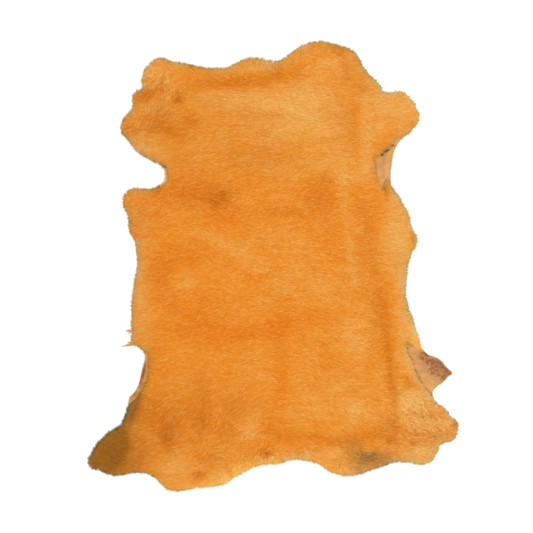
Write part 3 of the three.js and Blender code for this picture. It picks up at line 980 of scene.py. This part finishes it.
class SHEEPSKIN_OT_underwool(bpy.types.Operator):
    """Makes the dense mass of the fleece, which carries its troughs, its ridge and its colours"""

    bl_idname = "sheepskin.underwool"
    bl_label = "Underwool"

    def execute(self, context):
        sizes, colours = context.scene.sheepskin_sizes, context.scene.sheepskin_colours
        rim = rim_line()
        # The dense wool ends 2.8 mm inside the rim, and the rim's locks hang over its edge.
        points, faces = filled(rim - outwards(rim) * 2.8 * MM, sizes.underwool_step, sizes.fine_step)
        distance, _ = from_rim(points)
        cover = wool_cover(points)
        top = settled(solid_top(points, sizes.hide_thick), faces, points, 40, distance < 6 * MM)
        # The troughs and ridges fade towards the rim, from 22 mm in.
        rounding = np.sqrt(1 - (1 - np.clip(distance / (22 * MM), 0, 1)) ** 2)
        shoulder = np.clip(distance / (5 * MM), 0, 1) ** 0.5
        level = (top - sizes.hide_thick) * sizes.underwool_share * shoulder
        heights = sizes.hide_thick - 0.3 * MM + (level + wool_relief(points) * rounding) * cover
        faces = [face for face in faces if cover[list(face)].max() > 0.02]
        mesh = plain_mesh("underwool", np.column_stack([points, heights]), faces)
        ragged = 1.3 * MM * waves(points, 7 * MM, 21) + 1.8 * MM * waves(points, 17 * MM, 22)
        bare_distance, _ = to_bare_skin(points)
        room = np.minimum(distance, np.maximum(bare_distance, 0) + 3 * MM) + ragged
        from_spine = (points[:, 0] - SPINE_X) / (130 * MM)
        numbers = {
            "cover": cover,
            "from_rim": distance,
            "room": np.maximum(room, 1 * MM),
            "curl": wool_curl(points),
            "contrast": wool_contrast(points),
            "crossed": 0.5 * np.exp(-(from_spine**2)),
            "tone": np.full(len(points), 0.5),
            # The underwool shows only between the locks, and its low along gives it the roots' deeper dye
            # and painted shade.
            "along": np.full(len(points), 0.25),
        }
        for name, values in numbers.items():
            store(mesh, name, "FLOAT", values)
        store(mesh, "comb", "FLOAT_VECTOR", wool_comb(points))
        tint = np.column_stack([wool_tint(points, colours), np.ones(len(points))])
        store(mesh, "tint", "FLOAT_COLOR", tint)
        underwool = shown("underwool", mesh, dyed_wool())
        return {"FINISHED"}


def wool_lock(seed):
    """A three-sided lock of wool of length 1, rooted at the origin, that rises and then lies along +X."""
    draw = random.Random(seed)
    width, thick, bend = draw.uniform(0.13, 0.2), 0.03, draw.uniform(-0.1, 0.1)
    # A row for each section: along, up, aside and width. The last one is the tip.
    sections = (
        (0.0, -0.03, 0.0, 0.8 * width),
        (0.45, 0.03 + draw.uniform(-0.01, 0.01), bend, width),
        (0.98, 0.035 + draw.uniform(-0.015, 0.015), draw.uniform(-0.12, 0.12) - 0.4 * bend, 0),
    )
    points = []
    for x, z, y, wide in sections[:-1]:
        points += [(x, y - wide / 2, z), (x, y + wide / 2, z), (x, y, z + thick)]
    x, z, y, _ = sections[-1]
    points.append((x, y, z))
    faces = []
    for a, b in ((0, 1), (1, 2), (2, 0)):
        faces += [(a, b, b + 3, a + 3), (a + 3, b + 3, 6)]
    mesh = plain_mesh(f"lock_{seed}", points, faces)
    solid = bmesh.new()
    solid.from_mesh(mesh)
    bmesh.ops.triangulate(solid, faces=solid.faces)
    bmesh.ops.recalc_face_normals(solid, faces=solid.faces)
    for face in solid.faces:
        face.smooth = True
    # An edge between a side and the underside is sharp, or the sides would be shaded as facing down.
    for edge in solid.edges:
        edge.smooth = len({face.normal.z < 0 for face in edge.link_faces}) == 1
    solid.to_mesh(mesh)
    solid.free()
    store(mesh, "along", "FLOAT", [min(1, max(0, p[0])) for p in points])
    return mesh


LOCK_KINDS = 9


@functools.lru_cache
def lock_kinds():
    """A hidden collection of differently bent locks to draw from."""
    kinds = bpy.data.collections.new("Lock kinds")
    for seed in range(LOCK_KINDS):
        kinds.objects.link(bpy.data.objects.new(f"lock_{seed}", wool_lock(seed)))
    return kinds


EDGE_HEIGHT = 0.2 * MM  # what the locks lie on where they reach past the underwool


@functools.lru_cache
def locks_tree():
    """Geometry Nodes that root wool locks on a surface and lay them the way its comb attribute points."""
    tree = bpy.data.node_groups.new("Wool locks", "GeometryNodeTree")
    sockets = {
        "NodeSocketGeometry": ("Geometry",),
        "NodeSocketFloat": (
            "Density", "Spacing", "Length", "Length Spread", "Width", "Reach", "Lean Spread", "Clump",
            "Clump Turn",
        ),
        "NodeSocketCollection": ("Kinds",),
        "NodeSocketObject": ("Fleece",),
        "NodeSocketMaterial": ("Wool",),
        "NodeSocketInt": ("Seed",),
    }
    for kind, names in sockets.items():
        for name in names:
            tree.interface.new_socket(name=name, in_out="INPUT", socket_type=kind)
    tree.interface.new_socket(name="Geometry", in_out="OUTPUT", socket_type="NodeSocketGeometry")
    given = add(tree, "NodeGroupInput").outputs
    sums, random_number = "ShaderNodeMath", "FunctionNodeRandomValue"
    cover, contrast, curl, crossed, room = (
        add(tree, "GeometryNodeInputNamedAttribute", {"Name": name}, data_type="FLOAT")
        for name in ("cover", "contrast", "curl", "crossed", "room")
    )
    comb = add(tree, "GeometryNodeInputNamedAttribute", {"Name": "comb"}, data_type="FLOAT_VECTOR")
    place = add(tree, "GeometryNodeInputPosition")

    rooted = add(tree, "GeometryNodeDistributePointsOnFaces", {
        "Mesh": given["Geometry"], "Distance Min": given["Spacing"], "Density Max": given["Density"],
        "Density Factor": cover, "Seed": given["Seed"],
    }, distribute_method="POISSON")
    tone = add(tree, random_number, {2: -0.5, 3: 0.5, 8: given["Seed"]}, data_type="FLOAT")
    uneven = add(tree, sums, {0: tone, 1: contrast, 2: 0.5}, operation="MULTIPLY_ADD")
    toned = add(tree, "GeometryNodeStoreNamedAttribute", {
        "Geometry": rooted, "Name": "tone", "Value": uneven,
    }, data_type="FLOAT", domain="POINT")

    # Locks of one clump lie the same way: the noise turns and tips them together.
    per_metre = add(tree, sums, {0: 1.0, 1: given["Clump"]}, operation="DIVIDE")
    clump = add(tree, "ShaderNodeTexNoise", {"Vector": place, "Scale": per_metre, "Detail": 1.0})
    centred = add(tree, "ShaderNodeVectorMath", {
        0: clump.outputs["Color"], 1: (0.5, 0.5, 0.5),
    }, operation="SUBTRACT")
    split = add(tree, "ShaderNodeSeparateXYZ", {0: centred}).outputs
    stray = add(tree, random_number, {2: -0.22, 3: 0.22, 8: given["Seed"]}, data_type="FLOAT")
    curly = add(tree, sums, {0: curl, 1: 1.6, 2: 0.6}, operation="MULTIPLY_ADD")
    clump_turn = add(tree, sums, {0: given["Clump Turn"], 1: curly}, operation="MULTIPLY")
    swung = add(tree, sums, {0: split["X"], 1: clump_turn, 2: stray}, operation="MULTIPLY_ADD")
    # Near the spine some locks cross over to the other flank, which hides the parting.
    chance = add(tree, random_number, {2: 0.0, 3: 1.0, 8: 31}, data_type="FLOAT")
    crosses = add(tree, sums, {0: chance, 1: crossed}, operation="LESS_THAN")
    turn = add(tree, sums, {0: crosses, 1: math.pi, 2: swung}, operation="MULTIPLY_ADD")
    # Curly wool stands up more than combed wool.
    tip = add(tree, random_number, {2: -1.0, 3: 1.0, 8: 17}, data_type="FLOAT")
    tipped = add(tree, sums, {0: tip, 1: given["Lean Spread"]}, operation="MULTIPLY")
    tip_by = add(tree, sums, {0: curl, 1: 0.45, 2: 0.1}, operation="MULTIPLY_ADD")
    lean = add(tree, sums, {0: split["Y"], 1: tip_by, 2: tipped}, operation="MULTIPLY_ADD")

    laid = add(tree, "FunctionNodeAxesToRotation", {
        "Primary Axis": rooted.outputs["Normal"], "Secondary Axis": comb,
    }, primary_axis="Z", secondary_axis="X")
    for axis, angle in (("Z", turn), ("Y", lean)):
        laid = add(tree, "FunctionNodeRotateRotation", {
            "Rotation": laid, "Rotate By": add(tree, "ShaderNodeCombineXYZ", {axis: angle}),
        }, rotation_space="LOCAL")

    spread = add(tree, random_number, {2: -1.0, 3: 1.0, 8: 23}, data_type="FLOAT")
    vary = add(tree, sums, {0: spread, 1: given["Length Spread"], 2: 1.0}, operation="MULTIPLY_ADD")
    full = add(tree, sums, {0: vary, 1: given["Length"]}, operation="MULTIPLY")
    # A lock beside the rim ends a little beyond it.
    over = add(tree, sums, {0: chance, 1: given["Reach"], 2: room}, operation="MULTIPLY_ADD")
    long = add(tree, sums, {0: full, 1: over}, operation="MINIMUM")
    wide = add(tree, sums, {0: long, 1: given["Width"]}, operation="MULTIPLY")
    size = add(tree, "ShaderNodeCombineXYZ", {"X": long, "Y": wide, "Z": long})
    kinds = add(tree, "GeometryNodeCollectionInfo", {
        "Collection": given["Kinds"], "Separate Children": True, "Reset Children": True,
    })
    pick = add(tree, random_number, {4: 0, 5: LOCK_KINDS - 1, 8: given["Seed"]}, data_type="INT")
    locks = add(tree, "GeometryNodeInstanceOnPoints", {
        "Points": toned, "Instance": kinds, "Pick Instance": True, "Instance Index": pick,
        "Rotation": laid, "Scale": size,
    })
    real = add(tree, "GeometryNodeRealizeInstances", {"Geometry": locks})

    # The locks are grown on a flat copy of the fleece, and then every point is lifted onto its surface.
    flat_place = add(tree, "ShaderNodeSeparateXYZ", {0: place}).outputs
    above = add(tree, "ShaderNodeCombineXYZ", {"X": flat_place["X"], "Y": flat_place["Y"], "Z": 1.0})
    fleece = add(tree, "GeometryNodeObjectInfo", {"Object": given["Fleece"]}).outputs["Geometry"]
    hit = add(tree, "GeometryNodeRaycast", {
        "Target Geometry": fleece, "Source Position": above, "Ray Direction": (0, 0, -1),
        "Ray Length": 2.0,
    }).outputs
    surface = add(tree, "ShaderNodeSeparateXYZ", {0: hit["Hit Position"]}).outputs["Z"]
    ground = add(tree, "GeometryNodeSwitch", {
        "Switch": hit["Is Hit"], "False": EDGE_HEIGHT, "True": surface,
    }, input_type="FLOAT")
    lift = add(tree, "ShaderNodeCombineXYZ", {"Z": ground})
    draped = add(tree, "GeometryNodeSetPosition", {"Geometry": real, "Offset": lift})
    made = add(tree, "GeometryNodeSetMaterial", {"Geometry": draped, "Material": given["Wool"]})
    add(tree, "NodeGroupOutput", {"Geometry": made})
    return tree


FLOOR_GAP = 0.1 * MM  # nothing hangs lower than this over the floor


def off_floor(mesh):
    """Lifts the points that hang too low, and gives back where all of them are."""
    places = np.empty(3 * len(mesh.vertices), np.float32)
    mesh.vertices.foreach_get("co", places)
    places = places.reshape(-1, 3)
    places[:, 2] = np.maximum(places[:, 2], FLOOR_GAP)
    mesh.vertices.foreach_set("co", places.ravel())
    return places


def plan_uvs(mesh, places):
    """Adds a UV map that is the mesh seen from above."""
    plan = mesh.uv_layers.new(name="OFBake")
    corners = np.empty(len(mesh.loops), np.int32)
    mesh.loops.foreach_get("vertex_index", corners)
    flat = places[:, :2]
    low, high = flat.min(0), flat.max(0)
    plan.data.foreach_set("uv", ((flat - low) / (high - low).max())[corners].ravel())


def grow_locks(name, wanted, values, everywhere=()):
    """Grows locks on the faces of the underwool whose middle and distance from the rim are wanted.

    everywhere lists attributes of the underwool that hold one value for this piece: name, field and value.
    """
    carrier = bpy.data.objects["underwool"].data.copy()
    bed = bmesh.new()
    bed.from_mesh(carrier)
    depth = bed.verts.layers.float["from_rim"]
    extra = [
        face for face in bed.faces
        if not wanted(face.calc_center_median(), sum(v[depth] for v in face.verts) / 3)
    ]
    bmesh.ops.delete(bed, geom=extra, context="FACES")
    for vertex in bed.verts:
        vertex.co.z = 0
    bed.to_mesh(carrier)
    bed.free()
    for attribute, field, value in everywhere:
        carrier.attributes[attribute].data.foreach_set(field, np.tile(value, len(carrier.vertices)))
    piece = bpy.data.objects.new(name, carrier)
    bpy.context.scene.collection.objects.link(piece)
    grower = piece.modifiers.new("Wool locks", "NODES")
    grower.node_group = locks_tree()
    values = {
        "Kinds": lock_kinds(), "Fleece": bpy.data.objects["underwool"], "Wool": dyed_wool(), **values,
    }
    for socket in locks_tree().interface.items_tree:
        if socket.in_out == "INPUT" and socket.name in values:
            grower[socket.identifier] = values[socket.name]
    evaluated = piece.evaluated_get(bpy.context.evaluated_depsgraph_get())
    mesh = bpy.data.meshes.new_from_object(evaluated)
    bpy.data.objects.remove(piece)
    bpy.data.meshes.remove(carrier)
    mesh.name = name
    plan_uvs(mesh, off_floor(mesh))
    grown = shown(name, mesh, dyed_wool())


# The fleece is grown in bands from rump to neck: name, and where each starts and ends.
BANDS = (
    ("locks_rump", -1.0, -0.25),
    ("locks_loin", -0.25, 0.0),
    ("locks_back", 0.0, 0.25),
    ("locks_neck", 0.25, 1.0),
)


class SHEEPSKIN_OT_locks(bpy.types.Operator):
    """Grows the combed wool locks of the back, in bands from the rump to the neck"""

    bl_idname = "sheepskin.locks"
    bl_label = "Wool locks"

    def execute(self, context):
        sizes = context.scene.sheepskin_sizes
        for seed, (name, low, high) in enumerate(BANDS):
            grow_locks(name, lambda middle, depth: low <= middle.y < high, {
                "Density": sizes.locks_per_area, "Spacing": 1.5 * MM, "Length": sizes.lock_length,
                "Length Spread": 0.25, "Width": 1.0, "Reach": 4 * MM, "Lean Spread": 0.04,
                "Clump": sizes.clump, "Clump Turn": 1.6, "Seed": seed,
            })
        return {"FINISHED"}


class SHEEPSKIN_OT_rim_locks(bpy.types.Operator):
    """Grows the longer locks that fan out over the edge of the skin"""

    bl_idname = "sheepskin.rim_locks"
    bl_label = "Rim locks"

    def execute(self, context):
        sizes = context.scene.sheepskin_sizes
        grow_locks("locks_rim", lambda middle, depth: depth < sizes.rim_width, {
            "Density": sizes.rim_locks_per_area, "Spacing": 0.8 * MM, "Length": sizes.rim_lock_length,
            "Length Spread": 0.3, "Width": 0.65, "Reach": 7 * MM, "Lean Spread": 0.06,
            "Clump": 8 * MM, "Clump Turn": 2.0, "Seed": 40,
        })
        return {"FINISHED"}


class Wisp(NamedTuple):
    """A few long locks that stray past the rim, in millimetres: where they root and where they point.

    thick is how far from their root they start, and length is how long they are.
    """

    name: str
    x: float
    y: float
    towards_x: float
    towards_y: float
    thick: float
    length: float


WISPS = (
    Wisp("wisp_low", -294, -165, -333, -180, 4.5, 41),
    Wisp("wisp_high", -300, -141, -321, -145, 5, 24),
)


class SHEEPSKIN_OT_wisps(bpy.types.Operator):
    """Grows the stray wisps of longer wool at the left flank"""

    bl_idname = "sheepskin.wisps"
    bl_label = "Wisps"

    def execute(self, context):
        colours = context.scene.sheepskin_colours
        for seed, wisp in enumerate(WISPS):
            root = Vector((wisp.x * MM, wisp.y * MM))
            way = Vector((wisp.towards_x - wisp.x, wisp.towards_y - wisp.y, 0)).normalized()
            grow_locks(wisp.name, lambda middle, depth: (middle.xy - root).length < wisp.thick * MM, {
                "Density": 90000, "Spacing": 1 * MM, "Length": wisp.length * MM, "Length Spread": 0.3,
                "Width": 0.75, "Reach": 3 * wisp.length * MM, "Lean Spread": 0.02, "Clump": 40 * MM,
                "Clump Turn": 0.2, "Seed": 60 + seed,
            }, everywhere=(
                ("comb", "vector", way), ("tint", "color", colours.wisp), ("curl", "value", 0.0),
                ("crossed", "value", 0.0),
            ))
        return {"FINISHED"}


PHOTO_SIDE = 1172.6 * MM  # the width of floor that the photograph shows
CAMERA_HEIGHT = 3.0  # over the top of the wool
WOOL_TOP = 10 * MM
LOOKS_AT = (-14.3 * MM, -1.1 * MM)


class SHEEPSKIN_OT_stage(bpy.types.Operator):
    """Makes the pale floor, the soft studio light and the camera straight above"""

    bl_idname = "sheepskin.stage"
    bl_label = "Stage"

    def execute(self, context):
        scene = context.scene
        scene.view_settings.view_transform = "Standard"
        # Matt white board, with a tone that wanders very slightly, as paint does.
        material, tree = new_material("Matt white studio board")
        place = add(tree, "ShaderNodeTexCoord").outputs["Object"]
        grain = add(tree, "ShaderNodeTexNoise", {"Vector": place, "Scale": 40.0})
        board = add(tree, "ShaderNodeValToRGB", {"Fac": grain})
        board.color_ramp.elements[0].color = linear("#F7F7F6")
        board.color_ramp.elements[1].color = linear("#FAFAF9")
        matt = add(tree, "ShaderNodeBsdfDiffuse", {"Color": board})
        add(tree, "ShaderNodeOutputMaterial", {"Surface": matt})
        # The floor lies slightly under the skin, so that the two share no surface.
        half, drop = 4.0, -0.2 * MM
        corners = [(-half, -half, drop), (half, -half, drop), (half, half, drop), (-half, half, drop)]
        mesh = plain_mesh("floor", corners, [(0, 1, 2, 3)])
        mesh.materials.append(material)
        floor = bpy.data.objects.new("floor", mesh)
        scene.collection.objects.link(floor)

        world = bpy.data.worlds.new("Studio")
        world.use_nodes = True
        world.node_tree.nodes["Background"].inputs["Color"].default_value = (1, 1, 1, 1)
        world.node_tree.nodes["Background"].inputs["Strength"].default_value = 1.06
        scene.world = world
        key = bpy.data.lights.new("key", "SUN")
        key.energy, key.angle = 0.75, math.radians(35)
        lamp = bpy.data.objects.new("key", key)
        lamp.location = (-0.8, 1.5, 3.0)
        lamp.rotation_euler = (-lamp.location).to_track_quat("-Z", "Y").to_euler()
        scene.collection.objects.link(lamp)

        camera = bpy.data.cameras.new("camera")
        camera.sensor_width = 36.0
        camera.lens = camera.sensor_width * CAMERA_HEIGHT / PHOTO_SIDE
        eye = bpy.data.objects.new("camera", camera)
        eye.location = (*LOOKS_AT, CAMERA_HEIGHT + WOOL_TOP)
        scene.collection.objects.link(eye)
        scene.camera = eye
        return {"FINISHED"}


class SHEEPSKIN_PT_panel(bpy.types.Panel):
    """Lists the skin's sizes, its colours and what makes each piece"""

    bl_label = "Sheepskin"
    bl_idname = "SHEEPSKIN_PT_panel"
    bl_space_type = "VIEW_3D"
    bl_region_type = "UI"
    bl_category = "Sheepskin"

    def draw(self, context):
        for group in (context.scene.sheepskin_sizes, context.scene.sheepskin_colours):
            for name in group.__annotations__:
                self.layout.prop(group, name)
        for step in STEPS:
            self.layout.operator(step.bl_idname)


STEPS = (
    SHEEPSKIN_OT_stage,
    SHEEPSKIN_OT_hide,
    SHEEPSKIN_OT_underwool,
    SHEEPSKIN_OT_locks,
    SHEEPSKIN_OT_rim_locks,
    SHEEPSKIN_OT_wisps,
)
CLASSES = (SheepskinSizes, SheepskinColours, *STEPS, SHEEPSKIN_PT_panel)


def register():
    for kind in CLASSES:
        bpy.utils.register_class(kind)
    bpy.types.Scene.sheepskin_sizes = bpy.props.PointerProperty(type=SheepskinSizes)
    bpy.types.Scene.sheepskin_colours = bpy.props.PointerProperty(type=SheepskinColours)


def unregister():
    del bpy.types.Scene.sheepskin_colours
    del bpy.types.Scene.sheepskin_sizes
    for kind in reversed(CLASSES):
        bpy.utils.unregister_class(kind)


def main():
    register()
    bpy.ops.sheepskin.stage()
    bpy.ops.sheepskin.hide()
    bpy.ops.sheepskin.underwool()
    bpy.ops.sheepskin.locks()
    bpy.ops.sheepskin.rim_locks()
    bpy.ops.sheepskin.wisps()
    for shape in list(lock_kinds().objects):
        bpy.data.objects.remove(shape)


if __name__ == "__main__":
    main()
